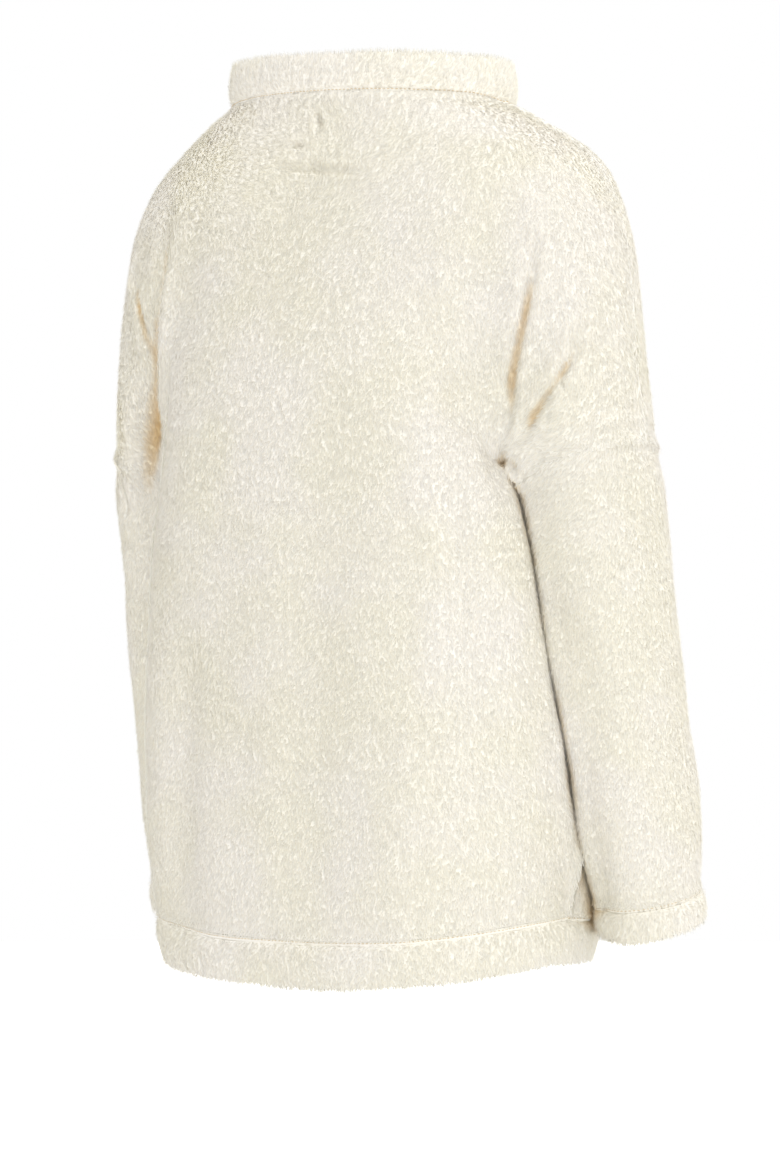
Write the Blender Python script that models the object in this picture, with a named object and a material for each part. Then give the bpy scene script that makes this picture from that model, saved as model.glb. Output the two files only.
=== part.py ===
"""Funnel-neck fleece pullover, standing open as it hangs when worn, with nobody in it.

The garment is one surface, laid out as grids of points. The grids share their points along every
seam, so the panels meet exactly there. Each panel then gets its wall and is trimmed back to leave
a seam gap. The front faces -Y, +X is the wearer's left, and the origin is on the line between the
shoulders, where the garment is carried.
"""

import math
from collections import namedtuple

import bpy
import numpy as np

# Levels, in metres above the line that carries the garment.
COLLAR_TOP = 0.052
NECK_SEAM = 0.018
SLEEVE_SEAM_TOP = -0.243
UNDERARM = -0.276
CUFF_SEAM = -0.583
CUFF_EDGE = -0.607
HEM_SEAM = -0.598
HEM_EDGE = -0.633

# How the neck seam climbs to the back and leans with the shoulders, and how the hem droops.
NECK_RISE = 0.006
NECK_LEAN = 0.016
COLLAR_LEAN = 0.040
COLLAR_TAPER = 0.012
NECK_EASES_OUT = -0.080
HEM_DROOP_BACK = 0.015
HEM_DROOP_FRONT = 0.007

# Walls. The cloth is a knit ground with a deep pile; the bands are the same cloth turned double.
CLOTH = 0.006
BAND = 0.0085
SEAM_GAP = 0.0003
SEAM_SINK = 0.0022
BAND_PUFF = 0.0024
EDGE_ROUND = 0.0038

# Room between the sleeve and the side of the body, and how softly the side gives way to it.
SLEEVE_ROOM = 0.008
UNDERARM_ROOM = 0.016
UNDERARM_ROOM_END = -0.350
SIDE_SOFTNESS = 0.006
SIDE_REACH = 0.3

# Points across half a panel, up it, and round a sleeve, and the rows of a band.
HALF_COLUMNS = 15
SHOULDER_COLUMNS = 9
YOKE_ROWS = 12
TORSO_ROWS = 13
HEM_CROWDING = 1.15
SLEEVE_ROWS = 14
BAND_STEPS = (0.0, 0.18, 0.5, 0.84, 1.0)
CURVE_POINTS = 240

# Where the crease behind the arm leaves the shoulder, as a share of the half width, how wide its
# reach is, and how far down the shoulder has become an arm.
CREASE_SHARE = 0.615
CREASE_TOP = -0.050
CREASE_REACH = 0.42
ARM_SETTLED = 0.88

# How far and how much the cloth round each underarm eases towards its neighbours.
EASE_ROUNDS = 4
EASE_AMOUNT = 0.6
EASE_TOP = -0.110
EASE_BOTTOM = -0.320
EASE_REACH = 0.035

# The neck and shoulders: half width, how far back the seam line lies, then the depth and
# squareness of the back half and of the front half.
Yoke = namedtuple("Yoke", "level half_width shift back back_square front front_square")
YOKE = (
    Yoke(0.018, 0.1240, 0.010, 0.081, 2.10, 0.081, 2.10),
    Yoke(0.007, 0.1460, 0.004, 0.089, 2.15, 0.082, 2.05),
    Yoke(-0.009, 0.1740, -0.003, 0.101, 2.15, 0.085, 2.00),
    Yoke(-0.029, 0.1970, -0.006, 0.112, 2.25, 0.091, 1.95),
    Yoke(-0.057, 0.2130, -0.006, 0.121, 2.35, 0.100, 1.85),
    Yoke(-0.097, 0.2240, -0.004, 0.127, 2.45, 0.110, 1.80),
    Yoke(-0.150, 0.2320, 0.000, 0.131, 2.50, 0.119, 1.75),
    Yoke(-0.211, 0.2390, 0.000, 0.134, 2.50, 0.124, 1.90),
    Yoke(-0.276, 0.2440, 0.000, 0.137, 2.45, 0.127, 2.10),
)

# The body below the arms, before the sleeves press on it.
Torso = namedtuple("Torso", "level half_width back front squareness")
TORSO = (
    Torso(-0.276, 0.1800, 0.137, 0.127, 2.60),
    Torso(-0.360, 0.1830, 0.139, 0.128, 2.60),
    Torso(-0.440, 0.1870, 0.140, 0.129, 2.60),
    Torso(-0.520, 0.1860, 0.139, 0.129, 2.60),
    Torso(-0.598, 0.1765, 0.136, 0.127, 2.60),
    Torso(-0.633, 0.1715, 0.133, 0.125, 2.60),
)

# A sleeve: its middle, its half width and half depth, and how its ring slants.
Sleeve = namedtuple("Sleeve", "level middle_x middle_y half_width half_depth slant_x slant_y")
SLEEVE = (
    Sleeve(-0.180, 0.1880, 0.004, 0.0470, 0.0590, 0.34, 0.00),
    Sleeve(-0.260, 0.1970, 0.000, 0.0480, 0.0600, 0.34, 0.00),
    Sleeve(-0.320, 0.1985, -0.010, 0.0490, 0.0610, 0.22, -0.04),
    Sleeve(-0.400, 0.2015, -0.023, 0.0480, 0.0600, 0.13, -0.09),
    Sleeve(-0.480, 0.2080, -0.037, 0.0445, 0.0555, 0.08, -0.13),
    Sleeve(-0.545, 0.2140, -0.046, 0.0410, 0.0510, 0.05, -0.16),
    Sleeve(-0.583, 0.2170, -0.051, 0.0370, 0.0465, 0.05, -0.18),
    Sleeve(-0.607, 0.2190, -0.054, 0.0360, 0.0450, 0.05, -0.22),
)

# The largest folds: where each runs, how deep it is (a ridge is negative) and how wide.
Fold = namedtuple("Fold", "x0 y0 z0 x1 y1 z1 depth width")
FOLDS = (
    # behind the right arm, two drags from the shoulder blade and one from the upper arm
    Fold(-0.168, 0.100, -0.075, -0.150, 0.100, -0.185, 0.010, 0.018),
    Fold(-0.150, 0.100, -0.185, -0.146, 0.090, -0.230, 0.009, 0.016),
    Fold(-0.215, 0.085, -0.140, -0.172, 0.085, -0.215, 0.008, 0.018),
    # behind the left arm, the same, one steeper
    Fold(0.172, 0.100, -0.060, 0.158, 0.100, -0.200, 0.009, 0.018),
    Fold(0.222, 0.070, -0.105, 0.185, 0.075, -0.205, 0.008, 0.018),
    # in front of each arm
    Fold(-0.165, -0.095, -0.085, -0.150, -0.090, -0.215, 0.009, 0.018),
    Fold(0.162, -0.095, -0.075, 0.150, -0.090, -0.210, 0.009, 0.018),
    Fold(-0.215, -0.075, -0.150, -0.180, -0.070, -0.225, 0.006, 0.016),
    Fold(0.218, -0.070, -0.135, 0.182, -0.070, -0.220, 0.006, 0.016),
    # long soft falls of the back and the front
    Fold(-0.045, 0.137, -0.270, -0.030, 0.140, -0.560, 0.006, 0.028),
    Fold(0.090, 0.130, -0.420, 0.105, 0.125, -0.600, 0.007, 0.026),
    Fold(0.050, 0.139, -0.300, 0.045, 0.139, -0.520, 0.004, 0.026),
    Fold(-0.115, 0.120, -0.470, -0.100, 0.128, -0.600, -0.005, 0.026),
    Fold(0.060, -0.125, -0.260, 0.075, -0.122, -0.590, 0.006, 0.028),
    Fold(-0.055, -0.126, -0.320, -0.070, -0.122, -0.590, 0.006, 0.028),
    Fold(-0.010, -0.127, -0.200, 0.000, -0.127, -0.420, -0.004, 0.030),
    # bends at the elbows
    Fold(-0.175, 0.045, -0.395, -0.215, 0.040, -0.425, 0.005, 0.016),
    Fold(-0.215, -0.060, -0.375, -0.180, -0.075, -0.410, 0.006, 0.016),
    Fold(0.230, 0.010, -0.335, 0.190, 0.040, -0.385, 0.006, 0.016),
    Fold(0.215, -0.065, -0.360, 0.180, -0.075, -0.400, 0.006, 0.016),
    Fold(0.235, -0.060, -0.450, 0.200, -0.085, -0.480, 0.004, 0.014),
    Fold(-0.235, -0.060, -0.455, -0.200, -0.085, -0.490, 0.004, 0.014),
)

# Finishes: linear colour and roughness.
FLEECE = ((0.860, 0.815, 0.700, 1.0), 0.95)
FLEECE_BAND = ((0.850, 0.800, 0.685, 1.0), 0.95)
SMOOTH_ANGLE = math.radians(50.0)

# Each piece: which way its grid winds, whether its rows are closed rings, and whether it is a
# band, whose last row is its free edge.
Piece = namedtuple("Piece", "winding closed band")
PIECES = {
    "back_panel": Piece(1.0, False, False),
    "front_panel": Piece(-1.0, False, False),
    "sleeve_left": Piece(-1.0, True, False),
    "sleeve_right": Piece(1.0, True, False),
    "cuff_left": Piece(-1.0, True, True),
    "cuff_right": Piece(1.0, True, True),
    "hem_band": Piece(-1.0, True, True),
    "neck_band": Piece(1.0, True, True),
}


def clear_scene():
    for obj in list(bpy.data.objects):
        bpy.data.objects.remove(obj)


# Sections and curves

def at_level(table, level):
    """A table's row at a level between its rows, as a smooth curve through them."""
    rows = np.array(table)
    level = min(max(level, rows[-1, 0]), rows[0, 0])
    i = int(min(np.searchsorted(-rows[:, 0], -level, side="right") - 1, len(rows) - 2))
    slopes = np.gradient(rows, rows[:, 0], axis=0)
    span = rows[i + 1, 0] - rows[i, 0]
    s = (level - rows[i, 0]) / span
    row = (
        (1 + 2 * s) * (1 - s) ** 2 * rows[i]
        + s * (1 - s) ** 2 * span * slopes[i]
        + s * s * (3 - 2 * s) * rows[i + 1]
        + s * s * (s - 1) * span * slopes[i + 1]
    )
    return type(table[0])(*row)


def along(points, shares):
    """Points at these shares of a line's length."""
    steps = np.linalg.norm(np.diff(points, axis=0), axis=1)
    run = np.concatenate([[0.0], np.cumsum(steps)])
    wanted = np.asarray(shares) * run[-1]
    return np.stack([np.interp(wanted, run, points[:, k]) for k in (0, 1)], axis=1)


def quarter(half_width, depth, squareness):
    """A quarter of a squared oval, from its side to its middle."""
    turn = np.linspace(0.0, math.pi / 2, CURVE_POINTS)
    power = 2.0 / squareness
    return np.stack([half_width * np.cos(turn) ** power, depth * np.sin(turn) ** power], axis=1)


def soft_least(a, b, softness):
    """The lesser of two values, rounded where they cross."""
    low = np.minimum(a, b)
    return low - softness * np.log(np.exp(-(a - low) / softness) + np.exp(-(b - low) / softness))


def sleeve_room(level):
    """The room between sleeve and body, wider just below the underarm."""
    near = min(max((level - UNDERARM_ROOM_END) / (UNDERARM - UNDERARM_ROOM_END), 0.0), 1.0)
    return SLEEVE_ROOM + (UNDERARM_ROOM - SLEEVE_ROOM) * near * near


# The body

def torso_quarter(level, side):
    """From the side seam to the middle of the back (side 1) or front (side -1), in the plane."""
    body, sleeve = at_level(TORSO, level), at_level(SLEEVE, level)
    line = quarter(body.half_width, body.back if side > 0 else body.front, body.squareness)
    across = np.clip((side * line[:, 1] - sleeve.middle_y) / sleeve.half_depth, -1.0, 1.0)
    limit = sleeve.middle_x - sleeve.half_width * np.sqrt(1.0 - across**2) - sleeve_room(level)
    pressed = soft_least(line[:, 0], limit, SIDE_SOFTNESS)
    line[:, 0] = np.where(line[:, 0] > SIDE_REACH * body.half_width, pressed, line[:, 0])
    return line


def yoke_point(share, depth_share, side):
    """A point of the neck, shoulders and upper arms. share runs 0 at the shoulder seam, 1 in the
    crease behind the arm, 2 at the middle; depth_share runs 0 at the neck, 1 at the underarm."""
    levels = [row.level for row in YOKE]
    level = float(np.interp(depth_share * (len(YOKE) - 1), range(len(YOKE)), levels))
    yoke, sleeve = at_level(YOKE, level), at_level(SLEEVE, level)
    if side > 0:
        oval = quarter(yoke.half_width, yoke.back, yoke.back_square)
    else:
        oval = quarter(yoke.half_width, yoke.front, yoke.front_square)
    split = int(np.searchsorted(-oval[:, 0], -CREASE_SHARE * yoke.half_width))
    if share <= 1.0:
        smooth = along(oval[: split + 1], [share])[0]
        turn = np.linspace(0.0, math.pi, CURVE_POINTS)
        reach = sleeve.half_depth + side * sleeve.middle_y
        arm_x = sleeve.middle_x + sleeve.half_width * np.cos(turn)
        creased = along(np.stack([arm_x, reach * np.sin(turn)], axis=1), [share])[0]
    else:
        smooth = along(oval[split:], [share - 1.0])[0]
        creased = along(torso_quarter(level, side), [share - 1.0])[0]
    fall = min(max((CREASE_TOP - level) / (CREASE_TOP - UNDERARM), 0.0), 1.0)
    settled = min(fall / ARM_SETTLED, 1.0)
    arm_weight = settled * settled * (3.0 - 2.0 * settled)
    crease_weight = 1.0 - math.sqrt(1.0 - fall * fall)
    near = math.exp(-(((share - 1.0) / CREASE_REACH) ** 2))
    weight = arm_weight + (crease_weight - arm_weight) * near
    x, y = smooth + (creased - smooth) * weight
    return np.array([x, side * y + yoke.shift, level])


def seam_depth(share):
    """Depth share of the sleeve seam, from its top (share 0) to the underarm (share 1)."""
    falls = [-row.level for row in YOKE]
    top = float(np.interp(-SLEEVE_SEAM_TOP, falls, range(len(YOKE)))) / (len(YOKE) - 1)
    return top + (1.0 - top) * (1.0 - math.cos(math.pi * share)) / 2.0


def yoke_grid(side):
    """Half a panel above the underarm, from the sleeve seam to the middle, as rows going up. It
    is filled in from its four edges."""
    corner = SHOULDER_COLUMNS / HALF_COLUMNS

    def bottom(u):
        return np.array([1.0 + u, 1.0])

    def top(u):
        if u <= corner:
            return np.array([0.0, seam_depth(0.0) * (1.0 - u / corner)])
        return np.array([2.0 * (u - corner) / (1.0 - corner), 0.0])

    def edge(v):
        return np.array([1.0 - v, seam_depth(1.0 - v)])

    def middle(v):
        return np.array([2.0, 1.0 - v])

    def filled(u, v):
        spot = (1 - v) * bottom(u) + v * top(u) + (1 - u) * edge(v) + u * middle(v)
        spot -= (1 - u) * (1 - v) * bottom(0) + u * (1 - v) * bottom(1)
        spot -= (1 - u) * v * top(0) + u * v * top(1)
        return yoke_point(min(max(spot[0], 0.0), 2.0), min(max(spot[1], 0.0), 1.0), side)

    columns = [i / HALF_COLUMNS for i in range(HALF_COLUMNS + 1)]
    grid = np.array([[filled(u, j / YOKE_ROWS) for u in columns] for j in range(YOKE_ROWS + 1)])
    grid[0, 0] = underarm_point()
    return grid


def underarm_point():
    sleeve = at_level(SLEEVE, UNDERARM)
    return np.array([sleeve.middle_x - sleeve.half_width - UNDERARM_ROOM / 2.0, 0.0, UNDERARM])


def ring_half(level, side):
    """The body's ring at a level, from the side seam to the middle."""
    flat = along(torso_quarter(level, side), np.linspace(0.0, 1.0, HALF_COLUMNS + 1))
    return np.stack([flat[:, 0], side * flat[:, 1], np.full(len(flat), level)], axis=1)


def mirrored(half):
    """A full row or grid from its +X half, running from +X to -X."""
    other = half[..., ::-1, :] * np.array([-1.0, 1.0, 1.0])
    return np.concatenate([half, other[..., 1:, :]], axis=-2)


def hung(grid):
    """The body's points with the neck raised to the back and leaning, and the hem drooping."""
    x, y, z = np.moveaxis(grid, -1, 0)
    near_neck = np.clip((z - NECK_EASES_OUT) / (NECK_SEAM - NECK_EASES_OUT), 0.0, 1.0) ** 2
    near_hem = np.clip((UNDERARM - z) / (UNDERARM - HEM_SEAM), 0.0, 1.0)
    droop = np.where(y > 0.0, HEM_DROOP_BACK, HEM_DROOP_FRONT) * (y / TORSO[-1].back) ** 2
    lift = near_neck * (NECK_RISE * y / YOKE[0].back + NECK_LEAN * x) - near_hem * droop
    return np.stack([x, y, z + lift], axis=-1)


def panel_grid(side):
    """A whole front or back: torso rows, then yoke rows, each from +X to -X."""
    steps = np.linspace(0.0, 1.0, TORSO_ROWS + 1)[:-1] ** HEM_CROWDING
    torso = np.array([ring_half(HEM_SEAM + (UNDERARM - HEM_SEAM) * s, side) for s in steps])
    return hung(mirrored(np.concatenate([torso, yoke_grid(side)], axis=0)))


def body_loop(back, front):
    """A row of both panels as one ring: the back from +X to -X, then the front back to +X."""
    return np.concatenate([back, front[::-1][1:-1]])


# The sleeves and the bands

def sleeve_ring(level, turn, hand):
    sleeve = at_level(SLEEVE, level)
    out = sleeve.half_width * np.cos(turn)
    back = sleeve.half_depth * np.sin(turn)
    height = level + sleeve.slant_x * out + sleeve.slant_y * back
    return np.stack([hand * (sleeve.middle_x + out), sleeve.middle_y + back, height], axis=1)


def sleeve_rings(back, front, hand):
    """Rings of a sleeve and its cuff, from the sleeve seam down. hand is 1 on +X."""
    rows = slice(TORSO_ROWS, TORSO_ROWS + YOKE_ROWS + 1)
    column = 0 if hand > 0 else -1
    seam = np.concatenate([back[rows, column][::-1], front[rows, column][1:-1]])
    turn = np.linspace(0.0, 2.0 * math.pi, len(seam), endpoint=False)
    top = seam[:, 2].mean()
    steps = np.linspace(0.0, 1.0, SLEEVE_ROWS + 1)[1:]
    rings = [seam] + [sleeve_ring(top + (CUFF_SEAM - top) * s, turn, hand) for s in steps]
    cuff = [sleeve_ring(CUFF_SEAM + (CUFF_EDGE - CUFF_SEAM) * s, turn, hand) for s in BAND_STEPS]
    return np.array(rings), np.array(cuff)


def hem_rings(back, front):
    rings = [body_loop(back[0], front[0])]
    for s in BAND_STEPS[1:]:
        level = HEM_SEAM + (HEM_EDGE - HEM_SEAM) * s
        rings.append(hung(body_loop(*[mirrored(ring_half(level, side)) for side in (1, -1)])))
    return np.array(rings)


def neck_rings(back, front):
    """The neck band, from the neck seam up."""
    neck = slice(SHOULDER_COLUMNS, 2 * HALF_COLUMNS - SHOULDER_COLUMNS + 1)
    seam = body_loop(back[-1, neck], front[-1, neck])
    top = COLLAR_TOP + COLLAR_LEAN * seam[:, 0]
    rings = []
    for s in BAND_STEPS:
        ring = seam * (1.0 - COLLAR_TAPER * s)
        ring[:, 2] = seam[:, 2] + (top - seam[:, 2]) * s
        rings.append(ring)
    return np.array(rings)


# One surface from the grids

def weld(grids):
    """All the grids' points as one list, and each grid as places in it."""
    every = np.concatenate([g.reshape(-1, 3) for g in grids.values()])
    _, first, place = np.unique(np.round(every, 6), axis=0, return_index=True, return_inverse=True)
    places, start = {}, 0
    for name, grid in grids.items():
        count = grid.shape[0] * grid.shape[1]
        places[name] = place.reshape(-1)[start : start + count].reshape(grid.shape[:2])
        start += count
    return every[first], places


def eased(points, places):
    """The points with the cloth round each underarm eased towards its neighbours."""
    pairs = []
    for grid in places.values():
        pairs.append(np.stack([grid[:-1].ravel(), grid[1:].ravel()], axis=1))
        pairs.append(np.stack([grid[:, :-1].ravel(), grid[:, 1:].ravel()], axis=1))
    pairs = np.unique(np.sort(np.concatenate(pairs), axis=1), axis=0)
    z = points[:, 2]
    amount = EASE_AMOUNT * np.clip((EASE_TOP - z) / (EASE_TOP - UNDERARM), 0.0, 1.0)
    amount *= np.clip((z - EASE_BOTTOM) / (UNDERARM - EASE_BOTTOM), 0.0, 1.0)
    crease = CREASE_SHARE * YOKE[-1].half_width
    amount *= np.exp(-(((np.abs(points[:, 0]) - crease) / EASE_REACH) ** 2))
    for _ in range(EASE_ROUNDS):
        total, count = np.zeros_like(points), np.zeros(len(points))
        for a, b in (pairs.T, pairs.T[::-1]):
            np.add.at(total, a, points[b])
            np.add.at(count, a, 1.0)
        points = points + (total / count[:, None] - points) * amount[:, None]
    return points


def folded(points, normals):
    """The points with the largest folds pressed in, or raised, along the normals."""
    moved = points.copy()
    for fold in FOLDS:
        start, end = np.array(fold[0:3]), np.array(fold[3:6])
        line = end - start
        share = np.clip((points - start) @ line / (line @ line), 0.0, 1.0)
        away = np.linalg.norm(points - start - share[:, None] * line, axis=1)
        moved -= normals * (fold.depth * np.exp(-((away / fold.width) ** 2)))[:, None]
    return moved


def surface_normals(points, places):
    """Normals over the whole garment, so that the panels agree along their seams."""
    total = np.zeros_like(points)
    for name, grid in places.items():
        piece = PIECES[name]
        right = np.roll(grid, -1, axis=1) if piece.closed else grid[:, 1:]
        left = grid if piece.closed else grid[:, :-1]
        quads = np.stack([left[:-1], right[:-1], right[1:], left[1:]], axis=-1).reshape(-1, 4)
        corner = points[quads]
        face = np.cross(corner[:, 2] - corner[:, 0], corner[:, 3] - corner[:, 1]) * piece.winding
        face /= np.linalg.norm(face, axis=1)[:, None]
        for k in range(4):
            np.add.at(total, quads[:, k], face)
    return total / np.linalg.norm(total, axis=1)[:, None]


# Walls

def trim(line, normals, inside, closed):
    """How far each point of an edge moves so that a panel stops half a gap short of its seam."""
    ahead = np.roll(line, -1, axis=0) - line
    behind = line - np.roll(line, 1, axis=0)
    if not closed:
        ahead[-1], behind[0] = behind[-1], ahead[0]
    ahead /= np.linalg.norm(ahead, axis=1)[:, None]
    behind /= np.linalg.norm(behind, axis=1)[:, None]
    off = np.cross(ahead + behind, normals)
    off /= np.linalg.norm(off, axis=1)[:, None]
    off *= np.sign((off * (inside - line)).sum(axis=1))[:, None]
    bend = np.sqrt(np.clip((1.0 + (ahead * behind).sum(axis=1)) / 2.0, 0.25, 1.0))
    return off * (SEAM_GAP / 2.0 / bend)[:, None]


def wall(outer, normals, places, piece):
    """Points and faces of one piece of cloth: its outer side, its inner side and its edges."""
    rows, columns = places.shape
    raised = np.zeros((rows, columns))
    raised[[0, -1]] = -SEAM_SINK
    if not piece.closed:
        raised[:, [0, -1]] = -SEAM_SINK
    deep = np.full((rows, columns), CLOTH)
    if piece.band:
        raised += BAND_PUFF * np.sin(np.array(BAND_STEPS) * math.pi)[:, None]
        raised[-1] = 0.0
        deep[1:] = BAND

    shift = np.zeros_like(outer)
    shift[0] = trim(outer[0], normals[0], outer[1], piece.closed)
    if not piece.band:
        shift[-1] = trim(outer[-1], normals[-1], outer[-2], piece.closed)
    if not piece.closed:
        for i, inside in ((0, 1), (-1, -2)):
            shift[:, i] += trim(outer[:, i], normals[:, i], outer[:, inside], False)
    out_side = outer + normals * raised[..., None] + shift
    in_side = outer - normals * deep[..., None] + shift
    points = np.concatenate([out_side.reshape(-1, 3), in_side.reshape(-1, 3)])
    count = rows * columns

    faces = []
    for j in range(rows - 1):
        for i in range(columns if piece.closed else columns - 1):
            n = (i + 1) % columns
            quad = tuple(r * columns + c for r, c in ((j, i), (j, n), (j + 1, n), (j + 1, i)))
            faces.append(quad)
            faces.append(tuple(k + count for k in reversed(quad)))

    bottom = list(range(columns)) + ([0] if piece.closed else [])
    top = [(rows - 1) * columns + i for i in reversed(bottom)]
    faces += closed_edge(bottom, places, count)
    if piece.band:
        away = outer[-1].mean(axis=0) - outer[-2].mean(axis=0)
        beyond = EDGE_ROUND * away / np.linalg.norm(away)
        rim = (out_side[-1] + in_side[-1]) / 2.0 + beyond
        faces += rounded_edge(top, count, len(points))
        points = np.concatenate([points, rim])
    else:
        faces += closed_edge(top, places, count)
    if not piece.closed:
        faces += closed_edge([j * columns for j in reversed(range(rows))], places, count)
        faces += closed_edge([j * columns + columns - 1 for j in range(rows)], places, count)
    return points, faces


def closed_edge(line, places, count):
    """Faces from the outer side to the inner side along a line of points. Each is split the same
    way on both sides of a seam."""
    order = places.reshape(-1)
    faces = []
    for a, b in zip(line[:-1], line[1:]):
        if order[a] < order[b]:
            faces += [(b, a, b + count), (a, a + count, b + count)]
        else:
            faces += [(b, a, a + count), (b, a + count, b + count)]
    return faces


def rounded_edge(line, count, start):
    """Faces over a free edge, through one more line of points beyond it."""
    last = len(line) - 1
    faces = []
    for k in range(last):
        a, b = line[k], line[k + 1]
        rim_a, rim_b = start + (last - k) % last, start + last - k - 1
        faces += [(b, a, rim_a, rim_b), (rim_b, rim_a, a + count, b + count)]
    return faces


def finish(name, look):
    made = bpy.data.materials.new(name)
    made.use_nodes = True
    shader = made.node_tree.nodes["Principled BSDF"]
    shader.inputs["Base Color"].default_value = look[0]
    shader.inputs["Roughness"].default_value = look[1]
    shader.inputs["Metallic"].default_value = 0.0
    return made


def add_piece(name, points, faces, material):
    mesh = bpy.data.meshes.new(name)
    mesh.from_pydata(points.tolist(), [], faces)
    mesh.update()
    mesh.shade_smooth()
    mesh.set_sharp_from_angle(angle=SMOOTH_ANGLE)
    mesh.materials.append(material)
    obj = bpy.data.objects.new(name, mesh)
    bpy.context.scene.collection.objects.link(obj)


def main():
    clear_scene()
    back, front = panel_grid(1), panel_grid(-1)
    left_sleeve, left_cuff = sleeve_rings(back, front, 1)
    right_sleeve, right_cuff = sleeve_rings(back, front, -1)
    grids = {
        "back_panel": back,
        "front_panel": front,
        "sleeve_left": left_sleeve,
        "sleeve_right": right_sleeve,
        "cuff_left": left_cuff,
        "cuff_right": right_cuff,
        "hem_band": hem_rings(back, front),
        "neck_band": neck_rings(back, front),
    }
    points, places = weld(grids)
    points = eased(points, places)
    points = folded(points, surface_normals(points, places))
    normals = surface_normals(points, places)

    fleece = finish("fleece", FLEECE)
    band = finish("fleece_band", FLEECE_BAND)
    for name, piece in PIECES.items():
        spots = places[name]
        made, faces = wall(points[spots], normals[spots], spots, piece)
        if piece.winding < 0:
            faces = [tuple(reversed(face)) for face in faces]
        add_piece(name, made, faces, band if piece.band else fleece)


main()
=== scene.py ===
"""The looks of a funnel-neck fleece top: knit ground, deep brushed pile, seams, studio."""
import math
from collections import namedtuple

import bmesh
import bpy
import numpy as np
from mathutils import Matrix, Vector, noise
from mathutils.bvhtree import BVHTree
from mathutils.kdtree import KDTree


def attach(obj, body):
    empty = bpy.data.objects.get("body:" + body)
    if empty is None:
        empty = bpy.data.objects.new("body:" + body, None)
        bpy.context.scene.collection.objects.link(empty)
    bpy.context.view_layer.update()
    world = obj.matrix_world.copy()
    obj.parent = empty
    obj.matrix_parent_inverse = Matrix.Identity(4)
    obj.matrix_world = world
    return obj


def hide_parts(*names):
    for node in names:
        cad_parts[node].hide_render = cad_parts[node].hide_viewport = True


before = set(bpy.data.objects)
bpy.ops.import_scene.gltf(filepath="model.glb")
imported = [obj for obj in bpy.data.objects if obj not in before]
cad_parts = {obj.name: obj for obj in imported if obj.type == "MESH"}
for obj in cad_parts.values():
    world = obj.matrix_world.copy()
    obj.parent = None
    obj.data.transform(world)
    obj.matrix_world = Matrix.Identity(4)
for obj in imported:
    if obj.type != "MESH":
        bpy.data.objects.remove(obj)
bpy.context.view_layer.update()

# Lengths and places are in metres, and this turns millimetres into them.
MM = 0.001

# The body that every piece rides on.
BODY = "root"

# The camera stands level, three metres off, behind the garment and to its right, a little to the side of
# its middle line and this high. At the garment its picture is as high as the frame height.
CAMERA_TURN = math.radians(35)
CAMERA_DISTANCE = 3.0
CAMERA_SIDE = 0.0089
CAMERA_LEVEL = -0.349
FRAME_HEIGHT = 0.9068
SENSOR = 36.0

# The studio: a round floor, the light of the room from each of the camera's sides, and one round lamp
# straight above the garment.
FLOOR_LEVEL = -1.45
FLOOR_RADIUS = 9.0
FLOOR_GLOW = 0.9
ROOM_LIGHT = {"right": 1.16, "left": 0.58, "up": 0.43, "down": 0.52, "back": 1.20, "ahead": 0.9}
LAMP_LEVEL = 2.7
LAMP_SIZE = 1.6
LAMP_POWER = 20

# The cloth: how deep the knit ground lies under the reach of the pile, how thick it is, and in how many
# rounds the patches of panels and bands are rounded off.
GROUND_SINK = 2.4 * MM
GROUND_THICK = 1.8 * MM
PANEL_ROUNDS = 2
BAND_ROUNDS = 1

# How the outer face of a panel's wall is found: how many level ways out each patch tries, how nearly
# a neighbour has to face the same way to vote on it, and in how many rounds.
WAYS_OUT = 48
SAME_WAY = 0.7
VOTES = 2

# Slow unevenness of the cloth, as (size of a swell, height).
SWELLS = ((90 * MM, 1.6 * MM), (38 * MM, 0.8 * MM), (14 * MM, 0.35 * MM))

# How the hollows are measured, for the tan shade painted into them: how far a point sees, from how far out,
# in how many directions and over how much of the way down to the cloth itself, and how much less a far hit
# counts than a near one.
HOLLOW_REACH = 70 * MM
HOLLOW_START = 2.5 * MM
HOLLOW_WAYS = 18
HOLLOW_SPREAD = 0.92
HOLLOW_FADE = 0.6

# Borders farther apart than the gap aren't sewn together. A pressed seam lies this deep in the cloth, and
# within its reach the pile is caught in it, down to this share of its height.
SEAM_GAP = 14 * MM
SEAM_SINK = 1.8 * MM
SEAM_REACH = 5 * MM
CAUGHT_HEIGHT = 0.7

# The pressed seam's rib, as its radius and the length of its steps, and the stitches over it, as their
# spacing, half the length of each as a share of that, and the radius of the thread.
RIB = 2.2 * MM
RIB_STEP = 4 * MM
STITCH = 3.2 * MM
STITCH_HALF = 0.42
THREAD = 0.35 * MM

# How far from a buried seam the borders are drawn together, how far from any seam the cloth rises again
# and by how much, and the share of that beside a pressed one.
CLOSE_REACH = 16 * MM
GROOVE_REACH = 8 * MM
GROOVE_FILL = 3.4 * MM
PRESSED_FILL = 0.6

# Where two pieces of cloth face each other closer than this, both swell until so much is left between
# them, but neither by more than the last.
CLOSE = 30 * MM
CLOSE_LEFT = 1 * MM
CLOSE_SWELL = 9 * MM

# How often the swells, the ways out of the cloth and the hollows are averaged with their neighbours.
SWELL_EASE = 6
WAY_EASE = 12
HOLLOW_EASE = 2

PANELS = ("back_panel", "front_panel", "sleeve_left", "sleeve_right")
BANDS = ("hem_band", "neck_band", "cuff_left", "cuff_right")

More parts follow.
